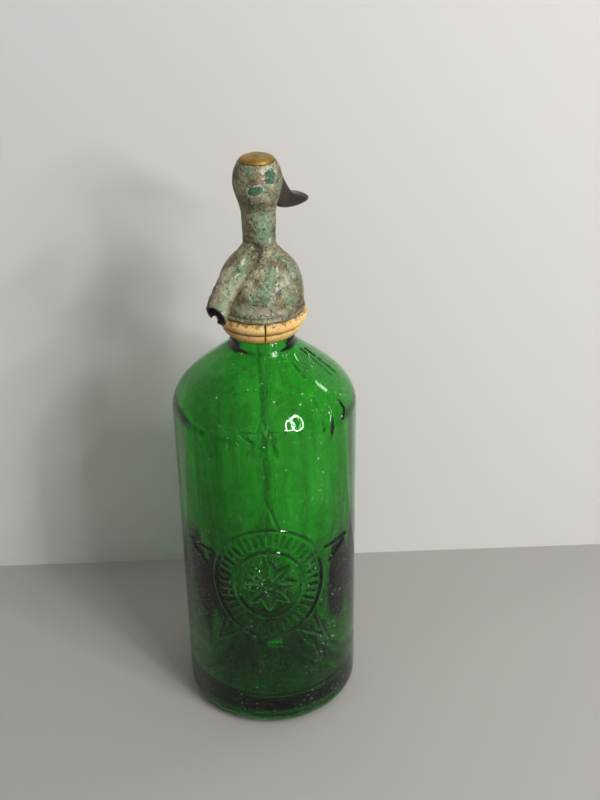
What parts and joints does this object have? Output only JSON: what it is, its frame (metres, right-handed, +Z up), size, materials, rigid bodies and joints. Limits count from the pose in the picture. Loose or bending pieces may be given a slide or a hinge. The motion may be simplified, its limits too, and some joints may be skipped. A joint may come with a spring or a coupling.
{
  "type": "soda siphon",
  "caption": "Tall glass pressure bottle with a cast head, a curved spout and a sprung thumb lever that lifts a valve to dispense soda water.",
  "frame": {"origin": "middle of the base, on the surface that the bottle stands on", "axes": "+Z up along the bottle's axis, +X towards the lever's outer end, -X towards the spout"},
  "size_m": [0.094, 0.094, 0.312],
  "materials": {
    "glass_bottle": "thick green glass, glossy",
    "dip_tube": "clear, glossy",
    "collar_half_left": "aged cream, worn satin",
    "collar_half_right": "aged cream, worn satin",
    "neck_gasket": "matte",
    "head_casting": "cast pewter, dull, pitted, with green corrosion",
    "tube_nut": "aged, dull",
    "tube_grommet": "matte",
    "valve_seat": "aged, dull",
    "valve_stem": "aged, dull",
    "valve_washer": "matte",
    "washer_screw": "aged, dull",
    "stem_packing": "matte",
    "gland_nut": "aged, dull",
    "spring_collar": "aged, dull",
    "closing_spring": "plain, slightly dull",
    "lever": "black moulding, worn satin",
    "lever_tang": "plain, slightly dull",
    "lever_pin": "plain, slightly dull",
    "brass_cap": "aged, satin",
    "cap_washer": "matte"
  },
  "bodies": {
    "siphon": {"glass_bottle": "glass_bottle", "dip_tube": "dip_tube", "collar_half_left": "collar_half_left", "collar_half_right": "collar_half_right", "neck_gasket": "neck_gasket", "head_casting": "head_casting", "tube_nut": "tube_nut", "tube_grommet": "tube_grommet", "valve_seat": "valve_seat", "stem_packing": "stem_packing", "gland_nut": "gland_nut", "closing_spring": "closing_spring", "lever_pin": "lever_pin", "brass_cap": "brass_cap", "cap_washer": "cap_washer"},
    "plunger": {"valve_stem": "valve_stem", "valve_washer": "valve_washer", "washer_screw": "washer_screw", "spring_collar": "spring_collar"},
    "lever": {"lever": "lever", "lever_tang": "lever_tang"}
  },
  "joints": [
    {"name": "lever_press", "type": "hinge", "parent": "siphon", "child": "lever", "pos_m": [0.006, 0, 0.294], "axis": [0, 1, 0], "range_deg": [0, 20]},
    {"name": "plunger_lift", "type": "slide", "parent": "siphon", "child": "plunger", "axis": [0, 0, 1], "range_m": [0, 0.00209], "stiffness_N_per_m": 600, "springref_m": -0.005, "deforming": ["closing_spring"]}
  ],
  "couplings": [
    {"joint": "lever_press", "follows": "plunger_lift", "rad_per_m": 166.67}
  ]
}
